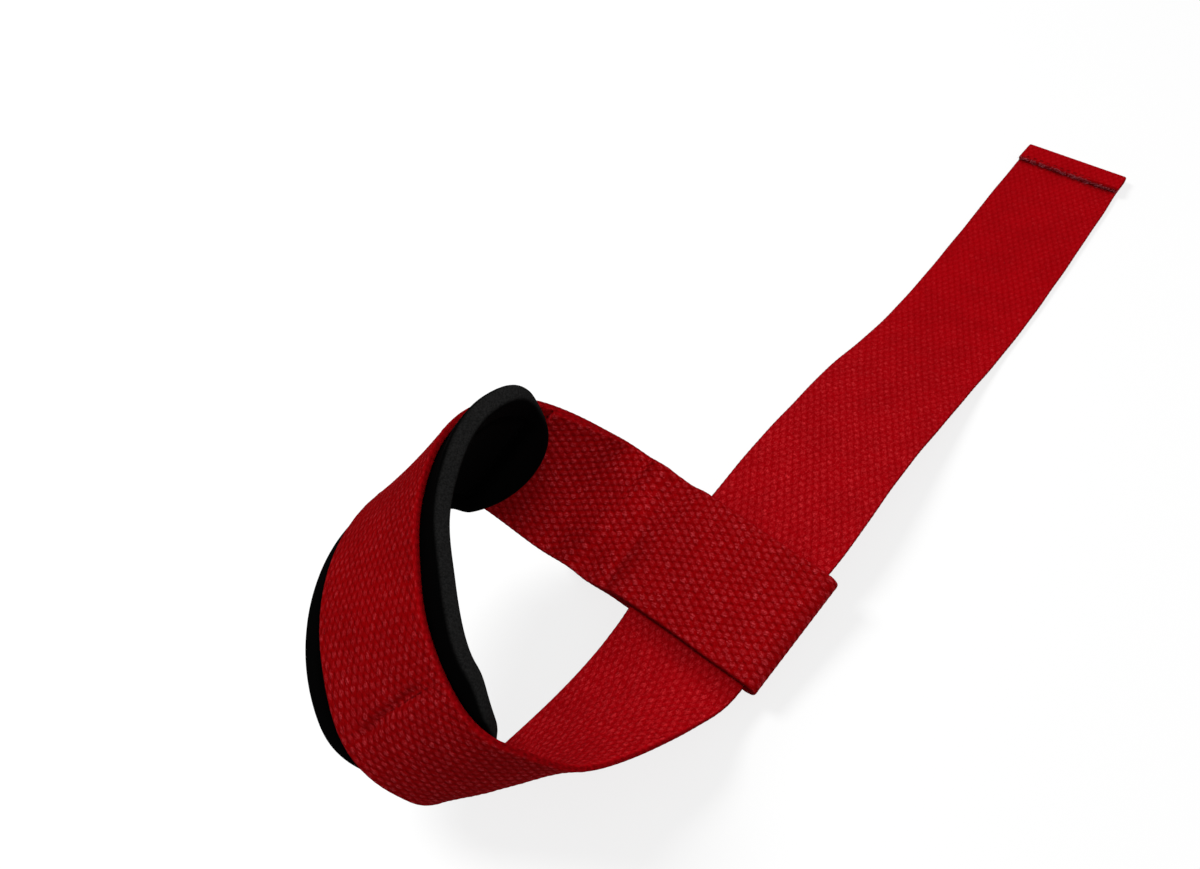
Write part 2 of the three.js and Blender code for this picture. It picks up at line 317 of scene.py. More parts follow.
# Creases and unevenness, as moves of the whole thickness. Pairs say where a change starts and ends.
CREASE_DEPTH = 1.3
CREASE_REACH = 1.4
CREASE_ASIDE = 1
CREASE_ENDS = (8, 15)
SEAM_DEPTH = 0.6
SEAM_PLACE = 0.4
SEAM_REACH = 1.3
SEAM_RIDGE = 0.45
SEAM_RISE = (-2, 1)
SEAM_FALL = (1, 17)
RIPPLE_SIZE = 0.2
RIPPLE_LENGTH = 11.0
RIPPLE_SLANT = 0.35
RIPPLE_PLACE = -90.0
RIPPLE_REACH = 7.0
RIPPLE_ENDS = (9, 18)
HEM_LIFT = 0.6
HEM_LIFT_RUN = 6
HEM_LIFT_SIDE = (4, 19)
SAG_DEPTH = 1.8
SAG_SLANT = 0.3
SAG_PLACE = 208
SAG_REACH = 9
SAG_ENDS = (2, 20)
DRAWN_IN = 0.9
DRAWN_PLACE = 118
DRAWN_REACH = 24

# Where the weave is pressed flatter, along the tail and at the hem, and by what share.
FLATTER = (
    {"start": 290, "end": 430, "share": 0.45},
    {"start": 500, "end": 512, "share": 0.35},
)
STRETCH_START = (80, 100)
STRETCH_END = (150, 185)
STRETCH_SHARE = 0.3

# Where the outline of the worn strap leaves an even band. band: distance along the band in the middle of
# the change, reach: how far from there it is down to a third, low and high: how far the edge on that side
# moves, in mm towards the high side.
EDGE_MOVES = (
    {"band": 28, "reach": 22, "low": 0.0, "high": 1.2},
    {"band": 48, "reach": 30, "low": -0.6, "high": 0.0},
    {"band": 64, "reach": 14, "low": 0.0, "high": -0.9},
    {"band": 100, "reach": 20, "low": 1.2, "high": 0.0},
    {"band": 105, "reach": 10, "low": 0.0, "high": -1.2},
    {"band": 125, "reach": 30, "low": 1.8, "high": 0.0},
    {"band": 128, "reach": 24, "low": 0.0, "high": -2.8},
    {"band": 166, "reach": 12, "low": 1.7, "high": 1.6},
    {"band": 208, "reach": 15, "low": -1.8, "high": -1.8},
    {"band": 222, "reach": 14, "low": 0.0, "high": -1.8},
    {"band": 256, "reach": 7, "low": 0.0, "high": -1.0},
    {"band": 262, "reach": 12, "low": 1.8, "high": 0.0},
    {"band": 318, "reach": 22, "low": 0.0, "high": 1.1},
    {"band": 345, "reach": 30, "low": -0.7, "high": 0.0},
    {"band": 375, "reach": 16, "low": -1.1, "high": 0.0},
    {"band": 440, "reach": 45, "low": 1.2, "high": 1.5},
    {"band": 518, "reach": 14, "low": 0.0, "high": -0.7},
)
# The same for the pad's edges.
PAD_MOVES = (
    {"band": 84, "reach": 9, "low": 0.8, "high": 0.0},
    {"band": 95, "reach": 8, "low": 0.0, "high": 2.6},
    {"band": 130, "reach": 19, "low": 0.0, "high": -3.3},
    {"band": 155, "reach": 16, "low": -1.9, "high": 0.0},
    {"band": 162, "reach": 20, "low": 0.0, "high": 0.9},
    {"band": 190, "reach": 9, "low": 0.0, "high": -1.6},
)

# The returned layer lies over the band at about RETURN_SUM minus its own distance, and the near fold is
# halfway. It isn't quite square, and the band is askew on both sides of it.
RETURN_SUM = -45.0
FOLD_MIDDLE = RETURN_SUM / 2
FOLD_SLANT = 0.03
FOLD_ASKEW = (3, 22)


def lattice(run, side, face):
    """Distance from the nearest crown, squared and in crown sizes: 0 on its top and 1 at its foot."""
    run = run + np.where(face < 0, CROWN_RUN / 2, 0)
    nearest = None
    for half in (0, 0.5):
        along = (run / CROWN_RUN + half + 0.5) % 1 - 0.5
        aside = (side / CROWN_SIDE + half + 0.5) % 1 - 0.5
        far = (along * CROWN_RUN / CROWN_HALF_RUN) ** 2 + (aside * CROWN_SIDE / CROWN_HALF_SIDE) ** 2
        nearest = far if nearest is None else np.minimum(nearest, far)
    return nearest


def crowns(run, side, face):
    """Height of the crowns as a share, 1 on their tops."""
    return np.clip(1 - CROWN_SLOPE * lattice(run, side, face), 0, 1)


def waves(values, seed, lengths, size):
    """Slow irregular waves along the band, the same in every piece."""
    source = np.random.default_rng(seed)
    total = np.zeros_like(values)
    for length in lengths:
        total += np.sin(2 * math.pi * values / length + source.uniform(0, 2 * math.pi))
    return total * size / len(lengths)


def away_from_edges(side, full, none):
    return 1 - smooth(np.abs(side), full, none)


def settle(run, side):
    """How far the whole thickness moves towards the inner side, from creases and unevenness."""
    crease = CREASE_DEPTH * dent(run - PAD_LINE_SLANT * side, PAD_LINE, CREASE_REACH)
    crease = crease * away_from_edges(side + CREASE_ASIDE, *CREASE_ENDS)
    past_seam = run - LOOP_LINE_SLANT * side - LOOP_LINE
    seam = SEAM_DEPTH * dent(past_seam, SEAM_PLACE, SEAM_REACH)
    seam = seam + SEAM_RIDGE * smooth(past_seam, *SEAM_RISE) * (1 - smooth(past_seam, *SEAM_FALL))
    ripple = np.sin(2 * math.pi * (run + RIPPLE_SLANT * side) / RIPPLE_LENGTH)
    ripple = ripple * dent(run, RIPPLE_PLACE, RIPPLE_REACH) * away_from_edges(side, *RIPPLE_ENDS)
    lifted = -HEM_LIFT * smooth(run, HEM_END - HEM_LIFT_RUN, HEM_END) * smooth(side, *HEM_LIFT_SIDE)
    # The middle sags where the ring's low part turns into the tail.
    sag = -SAG_DEPTH * dent(run - SAG_SLANT * side, SAG_PLACE, SAG_REACH) * away_from_edges(side, *SAG_ENDS)
    return crease + seam + RIPPLE_SIZE * ripple + lifted + sag


def drawn_in(run):
    """The ring is a little flatter behind the upper part of the pad."""
    return DRAWN_IN * dent(run, DRAWN_PLACE, DRAWN_REACH)


def relief_share(run):
    """The weave stands out less on the tail, on the hem and where the pad stretches it."""
    share = 1
    for change in FLATTER:
        share = share - change["share"] * smooth(run, change["start"], change["end"])
    return share - STRETCH_SHARE * (smooth(run, *STRETCH_START) * (1 - smooth(run, *STRETCH_END)))


def edge_move(moves, place, side, width):
    """How far a place at the given distance along the band moves across, by a table of moves of the edges."""
    high = np.clip(0.5 + side / width, 0, 1)
    total = np.zeros_like(side)
    for change in moves:
        size = change["low"] * (1 - high) + change["high"] * high
        total += size * dent(place, change["band"], change["reach"])
    return total


def outline_move(run, side):
    """The webbing's own moves, in both layers of the sewn end alike."""
    place = np.where(run < FOLD_MIDDLE, RETURN_SUM - run, run)
    return edge_move(EDGE_MOVES, place, side, WEBBING_WIDTH)


def ribbon_section():
    """Outline of a cut across the webbing: place across, height on the inner side, face and relief."""
    count = int(EDGE_START // WEAVE_SIDE_STEP)
    flat = np.arange(-count, count + 1) * WEAVE_SIDE_STEP
    arc_side = EDGE_START + EDGE_REACH * np.cos(EDGE_ANGLES)
    arc_height = VISIBLE_HALF * np.sin(EDGE_ANGLES)
    side = np.concatenate([flat, arc_side, flat[::-1], -arc_side[::-1]])
    height = np.concatenate([flat * 0 + VISIBLE_HALF, arc_height, flat * 0 - VISIBLE_HALF, arc_height[::-1]])
    face = np.concatenate([flat * 0 + 1, np.sign(arc_height), flat * 0 - 1, np.sign(arc_height[::-1])])
    relief = np.clip((RELIEF_END - np.abs(side)) / RELIEF_FADE, 0, 1)
    return side, height, face, relief


def add_object(name, data):
    made = bpy.data.objects.new(name, data)
    bpy.context.scene.collection.objects.link(made)
    return made


def new_object(name, points, faces):
    """points are in the strap's own millimetres."""
    mesh = bpy.data.meshes.new(name)
    mesh.from_pydata((points + SHIFT) * MM, [], faces)
    mesh.update()
    mesh.polygons.foreach_set("use_smooth", [True] * len(mesh.polygons))
    return add_object(name, mesh)


def store(piece, name, values):
    """Keeps three numbers per vertex for the materials."""
    layer = piece.data.attributes.new(name, "FLOAT_VECTOR", "POINT")
    layer.data.foreach_set("vector", np.asarray(values, np.float32).ravel())


def tube_quads(rows, columns):
    """Quads of a tube whose points come in rows, each row once round it."""
    row, column = np.meshgrid(np.arange(rows - 1), np.arange(columns), indexing="ij")
    after = (column + 1) % columns
    a, b = row * columns + column, row * columns + after
    return np.stack([a, b, b + columns, a + columns], -1).reshape(-1, 4)


def tube_faces(rows, columns):
    """The same with a flat face on each end."""
    last = (rows - 1) * columns
    ends = [list(range(columns - 1, -1, -1)), list(range(last, last + columns))]
    return tube_quads(rows, columns).tolist() + ends


def make_ribbon(name, first, last):
    """A stretch of the webbing between two rows of the weave."""
    index = np.arange(first, last + 1)
    section = ribbon_section()
    rows, columns = len(index), len(section[0])
    run = np.repeat(index * WEAVE_STEP, columns)
    side, height, face, relief = (np.tile(part, rows) for part in section)
    crown = crowns(run, side, face)
    height = height - face * relief * CROWN_RELIEF * (1 - crown) * relief_share(run)
    height = height + settle(run, side) + drawn_in(run)
    beads = EDGE_BEADS * np.cos(4 * math.pi * run / CROWN_RUN) * (1 - relief) * np.sign(side)
    wander = waves(run, WANDER_SEED, WANDER_LENGTHS, WANDER_SIZE)
    points = PATH.points(run, side + beads + wander + outline_move(run, side), height)
    askew = FOLD_SLANT * side * (1 - smooth(np.abs(run - FOLD_MIDDLE), *FOLD_ASKEW))
    points = points - np.outer(askew, SEWN_AXIS)
    piece = new_object(name, points, tube_faces(rows, columns))
    store(piece, "weave", np.stack([run, side, face], 1))
    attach(piece, "root")
    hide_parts("webbing")
    return piece


# Wrist pad. Places along it are from its tip, and its channels are the grooves that its stitches draw in.
PAD_HALF = PAD_WIDTH / 2
PAD_SPINE = (PAD_ROUNDING, PAD_LENGTH - PAD_ROUNDING)
PAD_ROUND = 1.5
PAD_STEP = 0.8
PAD_NEAR_EDGE = (0, 0.12, 0.3, 0.55, 0.85, 1.3, 1.8, 2.4, 3.1)
PAD_INNER_START = 3.9
PAD_INNER_RINGS = 27
PAD_WALL_LEVELS = (0.75, 0.5, 0.25)
PAD_FIRST_LINE = 13.0
PAD_END_LINES_APART = 8.0
PAD_LINES = (PAD_FIRST_LINE, PAD_LINE - PAD_TIP, PAD_LINE - PAD_TIP + PAD_END_LINES_APART)
PAD_CHANNEL = 16.4
CHANNEL_HALF = 1.0
CHANNEL_END = 1.5
CHANNEL_DEPTH = 1.15
LIP_HEIGHT = 0.55
LIP_RISE = (HALF_WIDTH + 0.2, HALF_WIDTH + 1.8)
PAD_SKEW = 0.2
PAD_SKEW_RUN = (85, 120)
TIP_MOVE = 3.2
TIP_SLANT = 0.07
TIP_RUN = (5, 50)
PAD_SETTLE = 0.5
PAD_SETTLE_RUN = (85, 95)
CUT_EDGE = 0.8
CUT_EDGE_RUN = (2, 24)
DOUBLES_APART = 2e-6


def pad_seat(distance):
    """Height of the pad's outer face: it steps over the raw end of the sewn loop."""
    past_end = smooth(distance, RAW_END_UNDER_PAD + PAD_GAP, RAW_END_UNDER_PAD + PAD_STEP_LENGTH)
    return HALF_THICKNESS + PAD_GAP + LAYER_PITCH * (1 - past_end)


def pad_outline():
    """Closed outline of the pad as places along and across, and the spine point that each faces."""
    low, high = PAD_SPINE
    end = np.linspace(0, math.pi, int(math.pi * PAD_HALF / PAD_STEP), endpoint=False)
    run = np.linspace(0, 1, int((high - low) / PAD_STEP), endpoint=False)
    along = np.concatenate(
        [
            low - PAD_ROUNDING * np.sin(end),
            low + (high - low) * run,
            high + PAD_ROUNDING * np.sin(end),
            high - (high - low) * run,
        ]
    )
    across = np.concatenate(
        [PAD_HALF * np.cos(end), run * 0 - PAD_HALF, -PAD_HALF * np.cos(end), run * 0 + PAD_HALF]
    )
    return along, across, np.clip(along, low, high)


def pad_channels(along, across):
    """Depth of the sewn channels on the inner face, as a share."""
    first, last = PAD_LINES[0], PAD_LINES[-1]
    inside = smooth(along, first - CHANNEL_END, first) * (1 - smooth(along, last, last + CHANNEL_END))
    within = 1 - smooth(np.abs(across), PAD_CHANNEL, PAD_CHANNEL + CHANNEL_END)
    slant = along - PAD_LINE_SLANT * across
    depth = dent(np.abs(across), PAD_CHANNEL, CHANNEL_HALF) * inside
    depth = np.maximum(depth, dent(along, first, CHANNEL_HALF) * within)
    for line in PAD_LINES[1:]:
        depth = np.maximum(depth, dent(slant, line, CHANNEL_HALF) * within)
    return depth


def pad_place(along, across):
    """Where on the band a place of the pad is: it is a little askew and shorter, and its edges vary."""
    skew = PAD_SKEW * across * smooth(along, *PAD_SKEW_RUN)
    tip = (TIP_MOVE + TIP_SLANT * across) * (1 - smooth(along, *TIP_RUN))
    run = PAD_TIP + along + skew + tip
    return run, across + edge_move(PAD_MOVES, run, across, PAD_WIDTH)


def follow_ring(height, along, run, side):
    """The pad takes up half of the ring's creases near its far end, and all that the ring is drawn in."""
    return height + settle(run, side) * smooth(along, *PAD_SETTLE_RUN) * PAD_SETTLE + drawn_in(run)


def pad_rings():
    """Rings of points round the pad: distance from its edge, and level, 1 on the inner face and 0 behind."""
    inset = np.concatenate([PAD_NEAR_EDGE, np.linspace(PAD_INNER_START, PAD_HALF, PAD_INNER_RINGS)])
    inner = [(to_edge, 1) for to_edge in inset[::-1]]
    wall = [(0.0, level) for level in PAD_WALL_LEVELS]
    return inner + wall + [(to_edge, 0) for to_edge in inset]


def make_pad():
    along_of, across_of, spine_of = pad_outline()
    rows, marks = [], []
    for to_edge, level in pad_rings():
        reach = 1 - to_edge / PAD_HALF
        along = spine_of + (along_of - spine_of) * reach
        across = across_of * reach
        run, side = pad_place(along, across)
        rounded = PAD_ROUND * (1 - math.sqrt(max(0.0, 1 - max(0.0, 1 - to_edge / PAD_ROUND) ** 2)))
        top = PAD_THICKNESS - rounded - CHANNEL_DEPTH * pad_channels(along, across)
        bottom = rounded - LIP_HEIGHT * smooth(np.abs(side), *LIP_RISE)
        height = pad_seat(along) + bottom + (top - bottom) * level
        rows.append(PATH.points(run, side, follow_ring(height, along, run, side)))
        cut = max(0.0, 1 - to_edge / CUT_EDGE) * smooth(along, *CUT_EDGE_RUN)
        marks.append(np.stack([run, side, cut], 1))
    outward = tube_quads(len(rows), len(along_of))[:, [0, 3, 2, 1]]
    piece = new_object("pad_body", np.concatenate(rows), outward.tolist())
    store(piece, "knit", np.concatenate(marks))
    closing = bmesh.new()
    closing.from_mesh(piece.data)
    bmesh.ops.remove_doubles(closing, verts=closing.verts, dist=DOUBLES_APART)
    bmesh.ops.recalc_face_normals(closing, faces=closing.faces)
    closing.to_mesh(piece.data)
    closing.free()
    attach(piece, "root")
    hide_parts("wrist_pad")
    return piece


# Stitches: each is a short round thread whose ends dip into the cloth. share: place along it, lift:
# height over the cloth, thick: how thick it is there, both in radii of the thread.
THREAD_SIDES = 6
THREAD_PROFILE = (
    {"share": 0.0, "lift": -1.6, "thick": 0.5},
    {"share": 0.12, "lift": -0.3, "thick": 0.85},
    {"share": 0.3, "lift": 0.45, "thick": 1.0},
    {"share": 0.5, "lift": 0.6, "thick": 1.0},
    {"share": 0.7, "lift": 0.45, "thick": 1.0},
    {"share": 0.88, "lift": -0.3, "thick": 0.85},
    {"share": 1.0, "lift": -1.6, "thick": 0.5},
)
THREAD_LENGTH = 2.4
STITCH_SHARE = 0.82
PAD_PITCH = 2.8
PAD_THREAD_DEPTH = 1.05
WEBBING_THREAD_DEPTH = 0.1
HEM_PITCH = 2.6
HEM_LINE = 1.3
HEM_LINE_MARGIN = 1.5
LENGTHWISE_SPOTS = 120
CROSSWISE_SPOTS = 60

# Loose fibres of the hem's raw edge. Pairs are the least and the most.
FRAY_SEED = 11
FRAY_COUNT = 420
FRAY_DEPTH = 0.3
FRAY_SIDES = (-HALF_WIDTH + 0.2, HALF_WIDTH - 0.2)
FRAY_HEIGHTS = (-VISIBLE_HALF, 0.5)
FRAY_LENGTHS = (0.5, 1.9)
FRAY_SWAY = 0.5
FRAY_SINK = (-0.1, 0.9)
FRAY_RADII = (0.035, 0.075)
FRAY_TAPER = 0.7
FRAY_ANGLES = (0, 2.1, 4.2)
FRAY_PROFILE = (0, 0.35, 0.7, 1.0)


def make_threads(name, stitches, radius, slack, seed):
    """stitches is a list of (start, end, normal)."""
    source = np.random.default_rng(seed)
    angles = np.arange(THREAD_SIDES) * 2 * math.pi / THREAD_SIDES
    tube = tube_faces(len(THREAD_PROFILE), THREAD_SIDES)
    points, faces, marks = [], [], []
    for start, end, normal in stitches:
        base = len(points) * THREAD_SIDES
        aside = unit(np.cross(unit(end - start), normal))
        drift = source.normal(0, slack, 2)
        ring = np.cos(angles)[:, None] * aside + np.sin(angles)[:, None] * normal
        for row in THREAD_PROFILE:
            share = row["share"]
            centre = start + (end - start) * share + normal * (row["lift"] * radius)
            centre = centre + aside * (drift[0] * (1 - share) + drift[1] * share)
            points.append(centre + ring * (row["thick"] * radius))
            marks.append(np.stack([angles * 0 + share * THREAD_LENGTH, angles, angles * 0], 1))
        faces += [[base + corner for corner in face] for face in tube]
    piece = new_object(name, np.concatenate(points), faces)
    store(piece, "twist", np.concatenate(marks))
    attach(piece, "root")
    return piece


def stitches_along(runs, sides, heights, facing, pitch):
    """Stitches of the given pitch along a line on the band, as (start, end, normal)."""
    line = PATH.points(runs, sides, heights)
    length = run_length(line)
    count = int(length[-1] // pitch)
    starts = (length[-1] - count * pitch) / 2 + np.arange(count) * pitch
    result = []
    _, _, inward = PATH.at(np.asarray(runs))
    for start in starts:
        ends = np.array([start, start + pitch * STITCH_SHARE])
        spots = np.stack([np.interp(ends, length, line[:, k]) for k in range(3)], 1)
        normal = np.array([np.interp(start + pitch / 2, length, inward[:, k]) for k in range(3)])
        result.append((spots[0], spots[1], unit(normal) * facing))
    return result


def pad_stitches(facing):
    """The sewn outline of the pad, seen on the pad's inner face or on the outer face of the webbing."""
    first, middle, last = PAD_LINES
    lengthwise = np.linspace(first, last, LENGTHWISE_SPOTS)
    crosswise = np.linspace(-PAD_CHANNEL, PAD_CHANNEL, CROSSWISE_SPOTS)
    lines = [(lengthwise, lengthwise * 0 + edge) for edge in (-PAD_CHANNEL, PAD_CHANNEL)]
    lines.append((crosswise * 0 + first, crosswise))
    for line in (middle, last) if facing > 0 else (middle,):
        lines.append((line + PAD_LINE_SLANT * crosswise, crosswise))
    result = []
    for along, across in lines:
        run, side = pad_place(along, across)
        if facing > 0:
            height = follow_ring(pad_seat(along) + PAD_THICKNESS - PAD_THREAD_DEPTH, along, run, side)
        else:
            side = across + outline_move(run, across)
            height = -VISIBLE_HALF + WEBBING_THREAD_DEPTH + settle(run, side) + drawn_in(run)
        result += stitches_along(run, side, height, facing, PAD_PITCH)
    return result


def hem_stitches():
    """The hem's line, on its upper face."""
    side = np.linspace(-HALF_WIDTH + HEM_LINE_MARGIN, HALF_WIDTH - HEM_LINE_MARGIN, CROSSWISE_SPOTS)
    return stitches_along(side * 0 + HEM_END - HEM_LINE, side, side * 0 - VISIBLE_HALF, -1, HEM_PITCH)


def make_fray():
    """Loose fibres along the raw edge of the hem."""
    source = np.random.default_rng(FRAY_SEED)
    middle, across, inward = (part[0] for part in PATH.at(np.array([HEM_END - FRAY_DEPTH])))
    back = np.array([-1.0, 0, 0])
    ring = np.array([across * math.cos(a) + inward * math.sin(a) for a in FRAY_ANGLES])
    tube = tube_faces(len(FRAY_PROFILE), len(FRAY_ANGLES))
    points, faces, marks = [], [], []
    for _ in range(FRAY_COUNT):
        base = len(points) * len(FRAY_ANGLES)
        side = source.uniform(*FRAY_SIDES)
        height = source.uniform(*FRAY_HEIGHTS)
        length = source.uniform(*FRAY_LENGTHS)
        bend = across * source.normal(0, FRAY_SWAY) - inward * source.uniform(*FRAY_SINK)
        radius = source.uniform(*FRAY_RADII)
        root = middle + across * side + inward * height
        for share in FRAY_PROFILE:
            centre = root + back * length * share + bend * length * share**2
            points.append(centre + ring * radius * (1 - FRAY_TAPER * share))
            marks.append(np.full((len(FRAY_ANGLES), 3), side))
        faces += [[base + corner for corner in face] for face in tube]
    piece = new_object("hem_fray", np.concatenate(points), faces)
    store(piece, "twist", np.concatenate(marks))
    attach(piece, "root")
    return piece


# A span says that something goes softly from start to end while another value goes from low to high.
Span = namedtuple("Span", "low high start end", defaults=(0.0, 1.0))


class Number:
    """A number in a node tree, so that a formula in nodes reads like a formula."""

    def __init__(self, tree, socket):
        self.tree, self.socket = tree, socket

    def do(self, operation, *others, clamp=False):
        node = self.tree.nodes.new("ShaderNodeMath")
        node.operation, node.use_clamp = operation, clamp
        for slot, value in zip(node.inputs, (self, *others)):
            put(self.tree, slot, value)
        return Number(self.tree, node.outputs[0])

    def __add__(self, other):
        return self.do("ADD", other)

    def __sub__(self, other):
        return self.do("SUBTRACT", other)

    def __mul__(self, other):
        return self.do("MULTIPLY", other)

    def __truediv__(self, other):
        return self.do("DIVIDE", other)

    def square(self):
        return self.do("POWER", 2.0)

    def wave(self, count=1):
        """A sine with the given number of periods for each unit."""
        return self.do("MULTIPLY", 2 * math.pi * count).do("SINE")

    def clamped(self):
        return self.do("MULTIPLY", 1.0, clamp=True)

    def minus_from(self, value):
        return (self * -1.0) + value

    def over(self, span):
        node = self.tree.nodes.new("ShaderNodeMapRange")
        node.interpolation_type = "SMOOTHSTEP"
        self.tree.links.new(self.socket, node.inputs["Value"])
        for name, value in zip(("From Min", "From Max", "To Min", "To Max"), span):
            node.inputs[name].default_value = value
        return Number(self.tree, node.outputs["Result"])


def put(tree, slot, value):
    """Gives a socket a number of the tree or a plain one."""
    if isinstance(value, Number):
        tree.links.new(value.socket, slot)
    else:
        slot.default_value = value


def weighed(parts, shares):
    """Sum of the named parts, each times its share."""
    total = None
    for name, share in shares.items():
        part = parts[name] * share
        total = part if total is None else total + part
    return total


def combine(tree, *values):
    node = tree.nodes.new("ShaderNodeCombineXYZ")
    for slot, value in zip(node.inputs, values):
        put(tree, slot, value)
    return node.outputs[0]


def stored(tree, name):
    """The three numbers that store() keeps per vertex."""
    node = tree.nodes.new("ShaderNodeAttribute")
    node.attribute_name = name
    parts = tree.nodes.new("ShaderNodeSeparateXYZ")
    tree.links.new(node.outputs["Vector"], parts.inputs[0])
    return [Number(tree, socket) for socket in parts.outputs]


def noise(tree, vector, scale, detail=2.0, roughness=0.5):
    node = tree.nodes.new("ShaderNodeTexNoise")
    tree.links.new(vector, node.inputs["Vector"])
    node.inputs["Scale"].default_value = scale
    node.inputs["Detail"].default_value = detail
    node.inputs["Roughness"].default_value = roughness
    return Number(tree, node.outputs["Fac"])


def random_of(tree, vector):
    node = tree.nodes.new("ShaderNodeTexWhiteNoise")
    tree.links.new(vector, node.inputs["Vector"])
    return Number(tree, node.outputs["Value"])


def mix_colours(tree, share, first, second, blend_type="MIX"):
    """first and second are colours or sockets."""
    node = tree.nodes.new("ShaderNodeMix")
    node.data_type, node.blend_type = "RGBA", blend_type
    put(tree, node.inputs["Factor"], share)
    sockets = [s for s in node.inputs if s.type == "RGBA"]
    for slot, value in zip(sockets, (first, second)):
        if isinstance(value, tuple):
            slot.default_value = (*value, 1.0)
        else:
            tree.links.new(value, slot)
    return [s for s in node.outputs if s.type == "RGBA"][0]


def material(name, roughness, specular):
    made = bpy.data.materials.new(name)
    made.use_nodes = True
    tree = made.node_tree
    shader = tree.nodes["Principled BSDF"]
    shader.inputs["Roughness"].default_value = roughness
    shader.inputs["Specular IOR Level"].default_value = specular
    return made, tree, shader


def bump(tree, shader, height, distance):
    """distance is in millimetres."""
    node = tree.nodes.new("ShaderNodeBump")
    node.inputs["Distance"].default_value = distance * MM
    tree.links.new(height.socket, node.inputs["Height"])
    tree.links.new(node.outputs["Normal"], shader.inputs["Normal"])


# Colours of the dyed cotton, linear: in the gaps, with painted shade, on the yarns, and where they are worn,
# paler with painted sheen. The outer face is darker, and the inner face is a clearer red.
OUTER_REDS = {"deep": (0.15, 0.0001, 0.0005), "body": (0.28, 0.0003, 0.0015), "pale": (0.5, 0.03, 0.038)}
INNER_REDS = {"deep": (0.222, 0.0001, 0.0012), "body": (0.295, 0.0002, 0.0024), "pale": (0.5, 0.016, 0.021)}
EDGE_REDS = ((0.17, 0.0002, 0.0012), (0.27, 0.0015, 0.004))
FACE_FROM = Span(-0.5, 0.5)
EDGE_FROM = Span(18.6, 19.0)
HEM_FROM = Span(496.0, 506.0)
EDGE_LOOP = 2.0
EDGE_BINDING = 0.1
EDGE_TONE = Span(0.3, 0.8)

# Irregularities of yarn and dye. Each is a noise at the place
# (along * run + skew * side, across * side + twist * run, layer * face).
Grain = namedtuple("Grain", "along skew across twist layer scale detail roughness")
STRAY = Grain(1.0, 0.0, 1.0, 0.0, 5.0, 0.5, 2.0, 0.5)
FIBRE = Grain(0.8, 0.5, 2.3, -0.6, 5.0, 1.0, 3.0, 0.68)
STREAK = Grain(0.7, -0.5, 3.0, 1.6, 7.0, 1.0, 2.0, 0.6)
SPOT = Grain(1.0, 0.0, 1.0, 0.0, 5.0, 1.3, 2.0, 0.75)
CLOUD = Grain(1.0, 0.0, 1.0, 0.0, 5.0, 0.11, 2.0, 0.5)
TEAR = Grain(1.0, 0.0, 1.4, 0.0, 3.0, 1.9, 2.0, 0.7)
SPECK = Grain(1.6, 0.4, 2.2, 0.0, 9.0, 1.0, 2.0, 0.8)
STRAY_RUN = 0.7
STRAY_SIDE = -0.45

# How the tone goes from the gaps, darkened with painted shade, to the yarns, and the bump.
PLY = {"aside": 2.6, "along": 0.7, "chance": 0.6}
TONE = {"crown": 0.62, "fibre": 0.5, "ply": 0.04}
CROWN_TONE = Span(0.0, 0.75)
FIBRE_TONE = Span(0.3, 0.7)
BUMPS = {"crown": 0.3, "light": 0.3, "fibre": 0.6, "streak": 0.2, "spot": 0.2, "speck": 0.5}
BUMP_DEPTH = 0.28

# Pale tops of the crowns, worn and with painted sheen: half sizes of the spot, how far it is off the top, and
# how ragged it is.
WORN_SHEEN_HALF_RUN = 0.66
WORN_SHEEN_HALF_SIDE = 0.74
WORN_SHEEN_OFF_RUN = 0.7
WORN_SHEEN_OFF_SIDE = 0.5
TEAR_RUN = 3.2
TEAR_SIDE = -2.2
WORN_SHEEN_EDGE = Span(0.0, 1.7, 1.0, 0.0)
WORN_SHEEN_CHANCE = 1.1
WORN_SHEEN_LEAST = 0.5
FIBRE_LIGHT = Span(0.4, 0.6, 0.15, 1.0)
SPOT_LIGHT = Span(0.2, 0.5, 0.4, 1.0)
STREAK_LIGHT = Span(0.56, 0.72)
STREAK_CROWN = Span(0.0, 0.6)
STREAK_SHARE = 0.34

# Less of the pale marks where the pad stretches the weave. Short fibres are specks on the inner face of the
# low part and the tail, the pale ones with painted glints. Pale marks and dark specks fade towards the far
# end.
STRETCH_FROM = Span(80.0, 105.0)
STRETCH_TO = Span(145.0, 180.0, 1.0, 0.0)
STRETCH_LIGHT = Span(0.0, 1.0, 1.0, 0.55)
TAIL_FROM = Span(195.0, 225.0)
INNER_FROM = Span(-0.2, 0.2)
SPECK_LIGHT = Span(0.54, 0.68)
SPECK_LIGHT_SHARE = 0.8
SPECK_DARK = Span(0.3, 0.5, 1.0, 0.0)
FAR_LIGHT = Span(330.0, 450.0, 1.0, 0.3)
FAR_DARK = Span(330.0, 450.0, 0.7, 0.1)

# Shade of the dye in clouds, painted shade on the sewn layers from their seam on and at the turn of the near
# fold, and a painted shadow that the loop's edge casts on the ring's end.
CLOUD_SHADE = Span(0.3, 0.7, 0.94, 1.06)
SEAM_SHADE = Span(-2.5, 1.0, 0.98, 0.84)
PAST_SEAM_SHADE = Span(1.0, 50.0, 0.0, 0.08)
